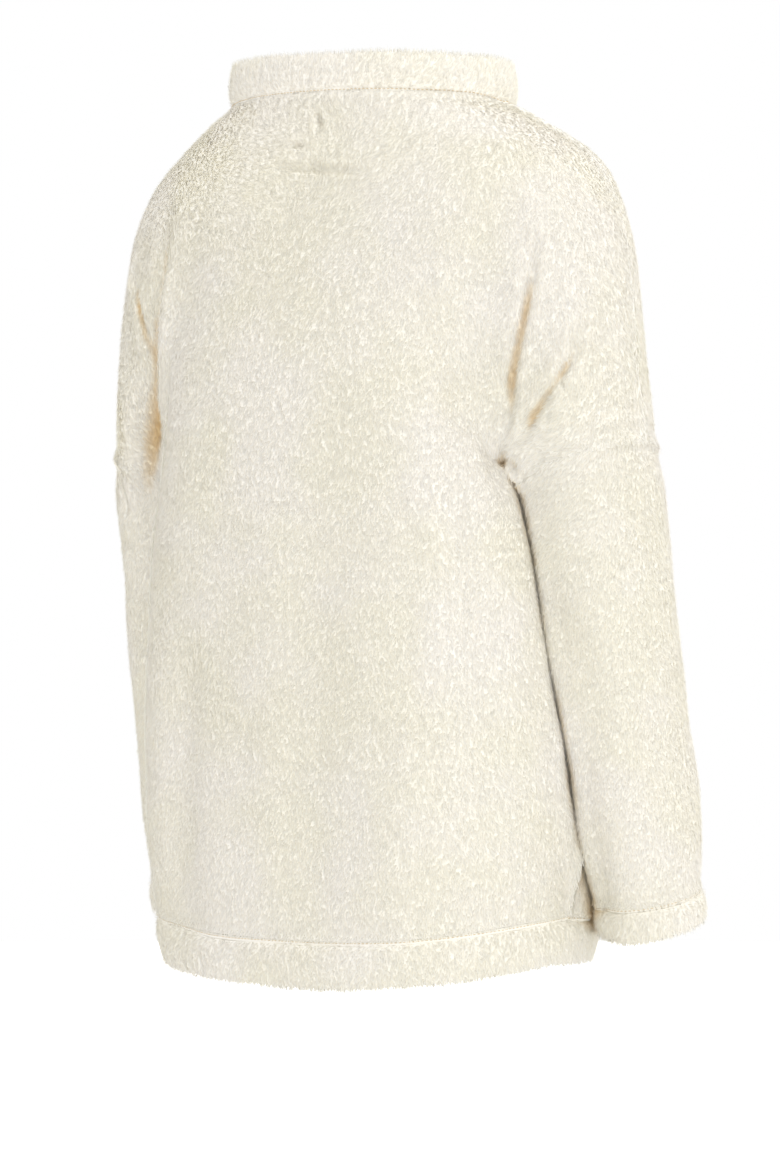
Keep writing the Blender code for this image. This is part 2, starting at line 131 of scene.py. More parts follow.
# Each piece of cloth: its slot, its flat cut, the share of that rectangle that it fills, the length in
# millimetres of its locks of pile, how far the nap is turned from straight down in degrees, and how far
# its tufts sway.
Cloth = namedtuple("Cloth", "slot flat share length turn sway")
CLOTHS = {
    "back_panel": Cloth("fleece", (0.66, 0.64), 0.75, 4.8, 0, 0.7),
    "front_panel": Cloth("fleece", (0.66, 0.63), 0.75, 4.8, 0, 0.7),
    "sleeve_left": Cloth("fleece", (0.37, 0.36), 0.80, 4.8, 0, 0.8),
    "sleeve_right": Cloth("fleece", (0.37, 0.36), 0.80, 4.8, 0, 0.8),
    "hem_band": Cloth("fleece_band", (1.00, 0.036), 1.0, 4.6, 0, 1.5),
    "neck_band": Cloth("fleece_band", (0.60, 0.034), 1.0, 4.6, 155, 1.5),
    "cuff_left": Cloth("fleece_band", (0.25, 0.025), 1.0, 4.6, 0, 1.5),
    "cuff_right": Cloth("fleece_band", (0.25, 0.025), 1.0, 4.6, 0, 1.5),
}

# The pressed seams, and between which pieces each runs. Those of the sides and armholes lie buried in
# the pile.
SEAMS = {
    "seam_hem": (("back_panel", "hem_band"), ("front_panel", "hem_band")),
    "seam_collar": (("back_panel", "neck_band"), ("front_panel", "neck_band")),
    "seam_cuff_left": (("sleeve_left", "cuff_left"),),
    "seam_cuff_right": (("sleeve_right", "cuff_right"),),
}

# The pile: how many locks a square metre holds, their width, and their shortest and longest as shares of
# the piece's own length. They rise from the cloth by the first angle, by up to the second more from tuft to
# tuft, and by the third where they stand up. Elsewhere a few do so by this part of it, and the higher the
# rareness, the fewer. Each piece has a random seed of its own, from the first one on.
PILE_DENSITY = 555000
LOCK_WIDTH = 1.05 * MM
SHORTEST = 0.75
LONGEST = 1.15
RISE = math.radians(9)
RISE_SPREAD = math.radians(26)
STAND = math.radians(55)
RARE_STAND = 0.2
RARENESS = 8.0
FIRST_SEED = 11

# How far each lock strays from its tuft, how much of its shading is that of the cloth below it, and how
# much of the light goes through it.
STRAY = 0.3
SOFT_SHARE = 0.6
LIGHT_THROUGH = 0.35

# On the bands the locks stand up where the cloth turns over an edge: once this share of its facing is up
# or down, and fully when that share is so much greater.
TURN_FROM = 0.35
TURN_OVER = 0.4

# The sizes of the patterns: a cool or warm patch of the cloth, a tuft of its pile, a fibre, a rib of the
# knit and a twist of the thread. Fibres are 0.3 mm apart, and are drawn coarse enough to show.
PATCH = 85 * MM
TUFT = 6 * MM
FIBRE = 0.6 * MM
KNIT_RIB = 1.2 * MM
TWIST = 0.8 * MM

# A crease or a soft trough in the cloth, or a bulge where the depth is negative: its path, its half width
# and its depth in millimetres, and how much painted tan shade its pile gets at its bottom.
Crease = namedtuple("Crease", "path width depth tan")
CREASES = (
    # Behind the right arm.
    Crease(((-.1937, .0684, -.0936), (-.1841, .0752, -.1478), (-.1681, .0708, -.1983),
            (-.1613, .063, -.2346)), 4.3, 5.0, 0.42),
    Crease(((-.2185, .0502, -.1587), (-.2128, .0576, -.1837), (-.1823, .0644, -.2256),
            (-.1593, .0464, -.2637)), 5.0, 4.5, 0.5),
    # The cloth bunches between the right arm and the body.
    Crease(((-.164, .060, -.243), (-.165, .055, -.257), (-.166, .051, -.272)), 14, -7.0, 0),
    # Between the left arm and the back, where the back's edge stands clear.
    Crease(((.1388, .0933, -.0619), (.1378, .1020, -.1052), (.1434, .0988, -.1280), (.1565, .0860, -.1618),
            (.1719, .0692, -.1958), (.1778, .0643, -.2269), (.1833, .0586, -.2582), (.1869, .0554, -.2818)),
           12, 12.0, 0.55),
    Crease(((.1280, .1070, -.0700), (.1250, .1080, -.1292), (.1320, .1030, -.1631), (.1470, .0860, -.1967),
            (.1580, .0740, -.2273)), 10, -3.5, 0),
    Crease(((.1844, .0762, -.1076), (.1750, .0800, -.1337), (.1690, .0780, -.1617)), 6, 5.0, 0.5),
    Crease(((.2196, .0502, -.2677), (.2078, .0534, -.2934)), 6, 3.0, 0.3),
    # Under the collar.
    Crease(((-.0051, .0931, .0117), (-.0125, .0968, -.0028)), 3, 3.0, 0.3),
    Crease(((.0125, .101, -.0143), (-.0032, .102, -.0162)), 3, 2.0, 0.4),
    Crease(((.0192, .1071, -.0318), (-.0041, .1083, -.0341), (-.0362, .1078, -.0361),
            (-.0628, .1065, -.0398)), 3.5, 2.5, 0.3),
    # Down the back.
    Crease(((-.1389, .0998, -.2000), (-.1389, .0998, -.272), (-.1496, .0986, -.3746), (-.1576, .0947, -.477)),
           13, 3.5, 0.3),
    Crease(((.092, .1292, -.3604), (.0992, .1224, -.4827), (.1022, .1161, -.600)), 20, 3.0, 0),
    Crease(((.0028, .1367, -.275), (.0028, .1367, -.295)), 22, 2.5, 0.15),
    # On the right sleeve.
    Crease(((-.1948, .0444, -.3601), (-.2100, .030, -.4200), (-.2139, .0193, -.4784)), 14, 2.5, 0.1),
    Crease(((-.2315, .0197, -.405), (-.2315, .0150, -.435)), 14, 2.5, 0),
)

# Creases of this half width in millimetres or less get a finer mesh, within so many half widths of their
# paths and in so many rounds.
NARROW = 6
NARROW_REACH = 3
NARROW_ROUNDS = 2

# The form of every crease: how much of it is left at its ends, the height of the lip on either side as a
# share of its depth, how many half widths away the lip lies, and how much tighter its painted tan shade keeps
# to it.
CREASE_END = 0.25
LIP = 0.2
LIP_AWAY = 1.9
PAINTED_SHADE_TIGHT = 1.3

# How the nap wanders, as (size of a stretch, degrees), and how far that pattern is moved from the swells.
NAP_WANDER = ((60 * MM, 12), (22 * MM, 16), (9 * MM, 20))
NAP_MOVED = Vector((7, 3, 1))

# Where the nap has been brushed aside: the middle, the reach and the turn in degrees.
Swirl = namedtuple("Swirl", "middle reach turn")
SWIRLS = (
    Swirl((.09, .090, -.020), .060, 60),
    Swirl((.02, .100, -.030), .055, 60),
    Swirl((-.19, .055, -.235), .030, -60),
    Swirl((-.20, .050, -.300), .045, -35),
    Swirl((.21, .055, -.230), .035, 70),
    Swirl((-.05, .110, -.060), .060, -30),
)


def linear(hex_colour):
    """An sRGB hex colour as linear red, green, blue and alpha."""
    parts = [int(hex_colour[i:i + 2], 16) / 255 for i in (1, 3, 5)]
    return [c / 12.92 if c <= 0.04045 else ((c + 0.055) / 1.055) ** 2.4 for c in parts] + [1.0]


def add(tree, kind, inputs=(), **settings):
    """Adds a node with its settings, and links or sets its inputs."""
    node = tree.nodes.new(kind)
    for name, value in settings.items():
        setattr(node, name, value)
    for key, value in dict(inputs).items():
        if isinstance(value, bpy.types.NodeSocket):
            tree.links.new(value, node.inputs[key])
        else:
            node.inputs[key].default_value = value
    return node


def new_material(name):
    """A new material with no nodes yet, and its node tree."""
    material = bpy.data.materials.new(name)
    material.use_nodes = True
    material.node_tree.nodes.clear()
    return material, material.node_tree


def fleece_colour_with_painted_shade(tree, place):
    """Cream polyester with cool and warm patches, and painted tan shade where the cloth lies in a hollow or a
    crease.
    """
    patches = add(tree, "ShaderNodeTexNoise", {"Vector": place, "Scale": 1 / PATCH, "Detail": 2.0})
    spread = add(tree, "ShaderNodeMapRange", {
        "Value": patches.outputs["Fac"], "From Min": 0.38, "From Max": 0.62})
    cream = add(tree, "ShaderNodeMix", {
        "Factor": spread.outputs["Result"], 6: linear("#F6F5EE"), 7: linear("#F8F7F4")}, data_type="RGBA")
    # Painted shade: tan mixed in where the cloth lies in a hollow or a crease.
    deep = add(tree, "ShaderNodeAttribute", attribute_name="deep")
    tan = add(tree, "ShaderNodeMapRange", {"Value": deep.outputs["Fac"], "From Min": 0.38, "From Max": 0.80})
    mixed = add(tree, "ShaderNodeMix", {
        "Factor": tan.outputs["Result"], 6: cream.outputs[2], 7: linear("#E8D1A6")}, data_type="RGBA")
    return mixed.outputs[2]


def pile_material():
    """High-pile polyester fleece, brushed and tumbled: fine matt locks that let some light through, with
    painted tan shade at their roots between the locks, so paler at the tips, and in the hollows of the cloth."""
    material, tree = new_material("brushed_polyester_pile")
    place = add(tree, "ShaderNodeTexCoord").outputs["Object"]
    along = add(tree, "ShaderNodeAttribute", attribute_name="lock_along")
    tone = add(tree, "ShaderNodeAttribute", attribute_name="lock_tone")
    cloth = fleece_colour_with_painted_shade(tree, place)
    # Painted shade: the roots of the locks, down between them, are mixed towards tan.
    root = add(tree, "ShaderNodeMapRange", {
        "Value": along.outputs["Fac"], "From Min": 0.0, "From Max": 0.8, "To Min": 0.22, "To Max": 0.0})
    roots_painted_shade = add(tree, "ShaderNodeMix", {
        "Factor": root.outputs["Result"], 6: cloth, 7: linear("#E6D2A6")}, data_type="RGBA")
    shade = add(tree, "ShaderNodeMapRange", {"Value": tone.outputs["Fac"], "To Min": 0.90, "To Max": 1.04})
    colour = add(tree, "ShaderNodeVectorMath", {0: roots_painted_shade.outputs[2], "Scale": shade.outputs["Result"]},
                 operation="SCALE")
    fibres = add(tree, "ShaderNodeTexNoise", {"Vector": place, "Scale": 1 / FIBRE, "Detail": 1.0})
    bump = add(tree, "ShaderNodeBump", {
        "Height": fibres.outputs["Fac"], "Strength": 0.15, "Distance": 0.2 * MM})
    rough = add(tree, "ShaderNodeMapRange", {
        "Value": fibres.outputs["Fac"], "To Min": 0.78, "To Max": 0.95})
    shader = add(tree, "ShaderNodeBsdfPrincipled", {
        "Base Color": colour.outputs["Vector"], "Roughness": rough.outputs["Result"],
        "Normal": bump.outputs["Normal"], "Specular IOR Level": 0.2, "Sheen Weight": 0.25,
        "Sheen Roughness": 0.5})
    through = add(tree, "ShaderNodeBsdfTranslucent", {"Color": colour.outputs["Vector"]})
    both = add(tree, "ShaderNodeMixShader", {
        0: LIGHT_THROUGH, 1: shader.outputs["BSDF"], 2: through.outputs["BSDF"]})
    add(tree, "ShaderNodeOutputMaterial", {"Surface": both.outputs["Shader"]})
    return material


def ground_material():
    """The knitted polyester ground that carries the pile: matt, a shade warmer, with the fine ribs of
    a weft knit, which show inside the garment and are hidden by the pile outside."""
    material, tree = new_material("weft_knit_polyester_ground")
    place = add(tree, "ShaderNodeTexCoord").outputs["Object"]
    cloth = fleece_colour_with_painted_shade(tree, place)
    ribs = add(tree, "ShaderNodeTexWave", {
        "Vector": place, "Scale": 1 / KNIT_RIB / math.tau, "Distortion": 1.5, "Detail": 1.0,
        "Detail Scale": 2.0}, bands_direction="Z")
    dim = add(tree, "ShaderNodeMapRange", {"Value": ribs.outputs["Fac"], "To Min": 0.97, "To Max": 1.0})
    warm = add(tree, "ShaderNodeMix", {
        "Factor": 0.2, 6: cloth, 7: linear("#EBDDBB")}, data_type="RGBA")
    colour = add(tree, "ShaderNodeVectorMath", {0: warm.outputs[2], "Scale": dim.outputs["Result"]},
                 operation="SCALE")
    bump = add(tree, "ShaderNodeBump", {
        "Height": ribs.outputs["Fac"], "Strength": 0.15, "Distance": 0.3 * MM})
    rough = add(tree, "ShaderNodeMapRange", {"Value": ribs.outputs["Fac"], "To Min": 0.85, "To Max": 0.95})
    shader = add(tree, "ShaderNodeBsdfPrincipled", {
        "Base Color": colour.outputs["Vector"], "Roughness": rough.outputs["Result"],
        "Normal": bump.outputs["Normal"], "Specular IOR Level": 0.2, "Sheen Weight": 0.2,
        "Sheen Roughness": 0.5})
    add(tree, "ShaderNodeOutputMaterial", {"Surface": shader.outputs["BSDF"]})
    return material


def seam_material():
    """Spun polyester sewing thread over the pressed seam: matt, with its twist, and tan-cream partly as its
    own colour and partly as painted shade of the seam line.
    """
    material, tree = new_material("thread_with_painted_seam_shade")
    place = add(tree, "ShaderNodeTexCoord").outputs["Object"]
    twist = add(tree, "ShaderNodeTexNoise", {"Vector": place, "Scale": 1 / TWIST, "Detail": 2.0})
    # Partly painted shade: the thread is tan so that the seam reads as the shaded line where the pile parts.
    colour = add(tree, "ShaderNodeMix", {
        "Factor": twist.outputs["Fac"], 6: linear("#CDB58C"), 7: linear("#E6D6B8")}, data_type="RGBA")
    bump = add(tree, "ShaderNodeBump", {
        "Height": twist.outputs["Fac"], "Strength": 0.4, "Distance": 0.2 * MM})
    rough = add(tree, "ShaderNodeMapRange", {"Value": twist.outputs["Fac"], "To Min": 0.7, "To Max": 0.9})
    shader = add(tree, "ShaderNodeBsdfPrincipled", {
        "Base Color": colour.outputs[2], "Roughness": rough.outputs["Result"],
        "Normal": bump.outputs["Normal"], "Specular IOR Level": 0.25})
    add(tree, "ShaderNodeOutputMaterial", {"Surface": shader.outputs["BSDF"]})
    return material


def merged(node):
    """A bmesh copy of a solid with its doubled points merged."""
    form = bmesh.new()
    form.from_mesh(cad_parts[node].data)
    bmesh.ops.remove_doubles(form, verts=form.verts, dist=0.01 * MM)
    form.normal_update()
    return form


def join_solids():
    """One search tree of every solid's faces, and one for each solid."""
    points, faces, single = [], [], {}
    for node in CLOTHS:
        form = merged(node)
        start = len(points)
        form.verts.index_update()
        points += [v.co.copy() for v in form.verts]
        faces += [[start + v.index for v in f.verts] for f in form.faces]
        single[node] = BVHTree.FromBMesh(form)
        form.free()
    return BVHTree.FromPolygons(points, faces), single


def drop_inner_faces(form, solids):
    """Keeps the faces that see the open air across, which are the outer face of the wall."""
    turns = [math.tau * i / WAYS_OUT for i in range(WAYS_OUT)]
    ways = [Vector((math.cos(turn), math.sin(turn), 0)) for turn in turns]
    outer = {}
    for face in form.faces:
        point = face.calc_center_median() + face.normal * MM
        ahead = sorted(ways, key=lambda way: -way.dot(face.normal))
        outer[face] = any(solids.ray_cast(point, way)[0] is None for way in ahead)
    for _ in range(VOTES):
        votes = {}
        for face in form.faces:
            near = [g for e in face.edges for g in e.link_faces if g is not face]
            near = [g for g in near if g.normal.dot(face.normal) > SAME_WAY]
            votes[face] = 2 * outer[face] + sum(outer[g] for g in near) > (2 + len(near)) / 2
        outer = votes
    bmesh.ops.delete(form, geom=[f for f in form.faces if not outer[f]], context="FACES")


def to_quads(form):
    """Joins the loose triangles back into the four-sided patches of the wall."""
    bmesh.ops.join_triangles(form, faces=form.faces, angle_face_threshold=math.radians(50),
                             angle_shape_threshold=math.radians(70), cmp_seam=False, cmp_sharp=False,
                             cmp_uvs=False, cmp_vcols=False, cmp_materials=False)


def smooth_mesh(form, name, rounds):
    """The form as a mesh, with a rounded surface through its patches."""
    mesh = bpy.data.meshes.new(name)
    form.to_mesh(mesh)
    form.free()
    rough = bpy.data.objects.new(name, mesh)
    bpy.context.scene.collection.objects.link(rough)
    modifier = rough.modifiers.new("rounding", "SUBSURF")
    modifier.levels = modifier.render_levels = rounds
    modifier.boundary_smooth = "PRESERVE_CORNERS"
    fine = evaluated_mesh(rough)
    bpy.data.objects.remove(rough)
    bpy.data.meshes.remove(mesh)
    for _ in range(NARROW_ROUNDS):
        refine_at_creases(fine)
    return fine


def refine_at_creases(mesh):
    """Splits the patches round the narrow creases in four."""
    form = bmesh.new()
    form.from_mesh(mesh)
    edges = list(form.edges)
    middles = np.array([(e.verts[0].co + e.verts[1].co) / 2 for e in edges])
    near = np.zeros(len(edges), bool)
    for crease in CREASES:
        if crease.width <= NARROW:
            near |= path_distance(middles, crease.path)[0] < NARROW_REACH * crease.width * MM
    if near.any():
        chosen = [edge for edge, is_near in zip(edges, near) if is_near]
        bmesh.ops.subdivide_edges(form, edges=chosen, cuts=1, use_grid_fill=True)
        form.to_mesh(mesh)
    form.free()


def evaluated_mesh(thing):
    """A plain mesh of the object with its modifiers applied."""
    bpy.context.view_layer.update()
    evaluated = thing.evaluated_get(bpy.context.evaluated_depsgraph_get())
    return bpy.data.meshes.new_from_object(evaluated)


def read_points(mesh):
    """The points of a mesh and their normals."""
    count = len(mesh.vertices)
    points, normals = np.empty(3 * count, np.float32), np.empty(3 * count, np.float32)
    mesh.vertices.foreach_get("co", points)
    mesh.vertex_normals.foreach_get("vector", normals)
    return points.reshape(-1, 3).astype(float), normals.reshape(-1, 3).astype(float)


def path_distance(points, path):
    """Each point's distance to a path, and how far along it lies, from 0 to 1."""
    best, along = np.full(len(points), math.inf), np.zeros(len(points))
    corners = np.array(path, float)
    lengths = np.linalg.norm(np.diff(corners, axis=0), axis=1)
    done = 0.0
    for start, end, length in zip(corners, corners[1:], lengths):
        share = np.clip((points - start) @ (end - start) / length ** 2, 0, 1)
        away = np.linalg.norm(points - start - share[:, None] * (end - start), axis=1)
        nearer = away < best
        best[nearer] = away[nearer]
        along[nearer] = (done + share[nearer] * length) / lengths.sum()
        done += length
    return best, along


def crease_marks(points):
    """How far the creases draw each point in, as troughs with a low lip on either side, and how much painted
    tan shade they give its pile."""
    depth, tan = np.zeros(len(points)), np.zeros(len(points))
    for crease in CREASES:
        away, along = path_distance(points, crease.path)
        t = away / (crease.width * MM)
        fade = np.clip(4 * along * (1 - along) + CREASE_END, 0, 1)
        lip = LIP * (crease.depth > 0) * np.exp(-(t - LIP_AWAY) ** 2)
        depth += crease.depth * MM * fade * (np.exp(-t ** 2) - lip)
        tan += crease.tan * fade * np.exp(-PAINTED_SHADE_TIGHT * t ** 2)
    return depth, tan


def swell(points):
    """The slow unevenness of soft cloth."""
    height = np.zeros(len(points))
    for size, rise in SWELLS:
        height += rise * np.array([noise.noise(Vector(p) / size) for p in points])
    return height


def nap_direction(points, normals, turn):
    """Which way the pile lies: down the cloth, with the swirls of a brushed and worn nap."""
    down = np.array([0, 0, -1.0]) + normals * normals[:, 2:3]
    # Where the cloth lies level, down has no length of its own, and the nap runs to the back.
    down += np.array([0, 1e-4, 0])
    down /= np.linalg.norm(down, axis=1)[:, None]
    side = np.cross(normals, down)
    angle = np.full(len(points), math.radians(turn))
    for swirl in SWIRLS:
        away = np.linalg.norm(points - np.array(swirl.middle), axis=1)
        angle += math.radians(swirl.turn) * np.exp(-(away / swirl.reach) ** 2)
    for size, degrees in NAP_WANDER:
        wander = np.array([noise.noise(Vector(p) / size + NAP_MOVED) for p in points])
        angle += math.radians(degrees) * wander
    return np.cos(angle)[:, None] * down + np.sin(angle)[:, None] * side


def store(mesh, name, kind, values):
    """Stores one value for each point of a mesh."""
    attribute = mesh.attributes.get(name) or mesh.attributes.new(name, kind, "POINT")
    field = "vector" if kind == "FLOAT_VECTOR" else "value"
    attribute.data.foreach_set(field, np.asarray(values, np.float32).ravel())


def move_points(mesh, points):
    """Moves the points of a mesh to these places."""
    mesh.vertices.foreach_set("co", points.astype(np.float32).ravel())
    mesh.update()


def border_points(mesh):
    """The indices of the points on the open border of a sheet, and its border edges."""
    form = bmesh.new()
    form.from_mesh(mesh)
    edges = [tuple(v.index for v in e.verts) for e in form.edges if e.is_boundary]
    form.free()
    return sorted({i for edge in edges for i in edge}), edges


def hollow_ways():
    """Directions spread evenly over most of a half sphere round +Z."""
    ways = []
    for i in range(HOLLOW_WAYS):
        rise = 1 - (i + 0.5) / HOLLOW_WAYS * HOLLOW_SPREAD
        turn = i * math.pi * (3 - math.sqrt(5))
        flat = math.sqrt(1 - rise * rise)
        ways.append(Vector((flat * math.cos(turn), flat * math.sin(turn), rise)))
    return ways


def hollowness(points, normals, everything):
    """From 0 in the open to 1 deep in a fold: how much of the view out of the cloth is blocked near by, which
    is painted into the cloth's colour as tan shade.
    """
    ways, deep = hollow_ways(), np.zeros(len(points))
    for i, (point, normal) in enumerate(zip(points, normals)):
        normal = Vector(normal)
        turn = Vector((0, 0, 1)).rotation_difference(normal)
        start = Vector(point) + normal * HOLLOW_START
        blocked = 0.0
        for way in ways:
            hit = everything.ray_cast(start, turn @ way, HOLLOW_REACH)
            if hit[0] is not None:
                blocked += 1 - HOLLOW_FADE * hit[3] / HOLLOW_REACH
        deep[i] = blocked / len(ways)
    return deep


def eased_over(mesh, values, rounds):
    """Values on the points of a mesh, each averaged with its neighbours."""
    edges = np.empty(2 * len(mesh.edges), np.int64)
    mesh.edges.foreach_get("vertices", edges)
    a, b = edges.reshape(-1, 2).T
    for _ in range(rounds):
        total, count = values.copy(), np.ones(len(values))
        np.add.at(total, a, values[b])
        np.add.at(total, b, values[a])
        np.add.at(count, a, 1)
        np.add.at(count, b, 1)
        values = total / count
    return values


def neighbour(point, node, single):
    """The piece of cloth, other than its own, that lies nearest to a point."""
    return min((tree.find_nearest(point)[3], other) for other, tree in single.items() if other != node)[1]


def border_facing(mesh, node, single, others):
    """The points on the border of a piece that lie nearest to one of these others."""
    border = [mesh.vertices[i].co.copy() for i in border_points(mesh)[0]]
    return [point for point in border if neighbour(point, node, single) in others]


def point_tree(points):
    """A search tree of points."""
    tree = KDTree(len(points))
    for i, point in enumerate(points):
        tree.insert(point, i)
    tree.balance()
    return tree


def close_swell(points, normals, solids):
    """How far the cloth swells out where another piece faces it closely."""
    swells = np.zeros(len(points))
    for i, (point, normal) in enumerate(zip(points, normals)):
        away = solids.ray_cast(Vector(point + normal * MM), Vector(normal), CLOSE)[3]
        if away is not None:
            near = min(1, 2 * (1 - away / CLOSE))
            room = max((away + MM - CLOSE_LEFT) / 2 + GROUND_SINK, 0)
            swells[i] = near * min(room, CLOSE_SWELL + GROUND_SINK)
    return swells


def groove_fill(points, mesh, node, single):
    """How far the cloth rises again beside a seam: all the way where the seam is buried in the pile, and
    less where it is pressed."""
    fills = np.zeros(len(points))
    for others, share in ((PANELS, 1.0), (BANDS, PRESSED_FILL)):
        line = border_facing(mesh, node, single, others)
        if line:
            seams = point_tree(line)
            near = np.array([max(0, 1 - seams.find(Vector(p))[2] / GROOVE_REACH) for p in points])
            fills = np.maximum(fills, share * GROOVE_FILL * near * near)
    return fills


def eased_normals(mesh, normals, rounds):
    """The way out of the cloth, with no regard to its rounded edges."""
    ways = np.stack([eased_over(mesh, normals[:, i].copy(), rounds) for i in range(3)], axis=1)
    return ways / np.linalg.norm(ways, axis=1)[:, None]


def close_seams(grounds, single):
    """Draws the borders of the panels together along the buried seams, so that the cloth runs on."""
    borders = {node: border_facing(grounds[node], node, single, PANELS) for node in PANELS}
    shifted = {}
    for node in PANELS:
        own = point_tree(borders[node])
        facing = point_tree([point for other in PANELS if other != node for point in borders[other]])
        shifts = []
        for point in borders[node]:
            target, _, away = facing.find(point)
            shifts.append((target - point) / 2 if away < SEAM_GAP else Vector((0, 0, 0)))
        points = read_points(grounds[node])[0]
        for i, point in enumerate(points):
            _, nearest, away = own.find(Vector(point))
            if away < CLOSE_REACH:
                points[i] = Vector(point) + shifts[nearest] * (1 - away / CLOSE_REACH) ** 2
        shifted[node] = points
    for node, points in shifted.items():
        move_points(grounds[node], points)


def make_grounds():
    """The knit ground of every piece as a mesh, sunk under the reach of its pile."""
    (solids, single), grounds = join_solids(), {}
    for node in CLOTHS:
        form = merged(node)
        if node in PANELS:
            drop_inner_faces(form, solids)
        to_quads(form)
        mesh = smooth_mesh(form, node + "_ground", PANEL_ROUNDS if node in PANELS else BAND_ROUNDS)
        points, normals = read_points(mesh)
        closing = eased_over(mesh, close_swell(points, normals, solids), SWELL_EASE)
        fill = groove_fill(points, mesh, node, single)
        points += eased_normals(mesh, normals, WAY_EASE) * fill[:, None]
        # How deep each crease draws the cloth in, and the painted tan shade it gives the pile there.
        depth, tan = crease_marks(points)
        store(mesh, "deep", "FLOAT", tan)
        points += normals * (swell(points) - depth - GROUND_SINK + closing)[:, None]
        move_points(mesh, points)
        grounds[node] = mesh
    close_seams(grounds, single)
    return grounds, single


def describe_grounds(grounds, single):
    """Gives each ground its nap, its hollows for the painted tan shade, and where its pile is caught in a
    seam or stands up.
    """
    points, faces, seam_points = [], [], []
    for node, mesh in grounds.items():
        start = len(points)
        points += [v.co.copy() for v in mesh.vertices]
        faces += [[start + i for i in p.vertices] for p in mesh.polygons]
        seam_points += border_facing(mesh, node, single, BANDS)
    everything, seams = BVHTree.FromPolygons(points, faces), point_tree(seam_points)
    for node, mesh in grounds.items():
        points, normals = read_points(mesh)
        store(mesh, "nap", "FLOAT_VECTOR", nap_direction(points, normals, CLOTHS[node].turn))
        tan = np.empty(len(points), np.float32)
        mesh.attributes["deep"].data.foreach_get("value", tan)
        # Painted shade: the hollower a point lies, the more tan its cloth and pile are painted.
        deep = eased_over(mesh, hollowness(points, normals, everything), HOLLOW_EASE)
        store(mesh, "deep", "FLOAT", np.clip(deep + tan, 0, 1))
        caught = np.array([min(seams.find(Vector(p))[2] / SEAM_REACH, 1) for p in points])
        store(mesh, "pile_height", "FLOAT", CAUGHT_HEIGHT + (1 - CAUGHT_HEIGHT) * caught)
        turned = np.abs(normals[:, 2]) * (node in BANDS)
        store(mesh, "stand", "FLOAT", np.clip((turned - TURN_FROM) / TURN_OVER, 0, 1))


def new_geometry_tree(name, inputs):
    """A Geometry Nodes tree with a geometry in and out and these inputs, and what its input node gives."""
    tree = bpy.data.node_groups.new(name, "GeometryNodeTree")
    tree.interface.new_socket("Geometry", in_out="INPUT", socket_type="NodeSocketGeometry")
    for label, kind in inputs:
        tree.interface.new_socket(label, in_out="INPUT", socket_type="NodeSocket" + kind)
    tree.interface.new_socket("Geometry", in_out="OUTPUT", socket_type="NodeSocketGeometry")
    return tree, add(tree, "NodeGroupInput").outputs


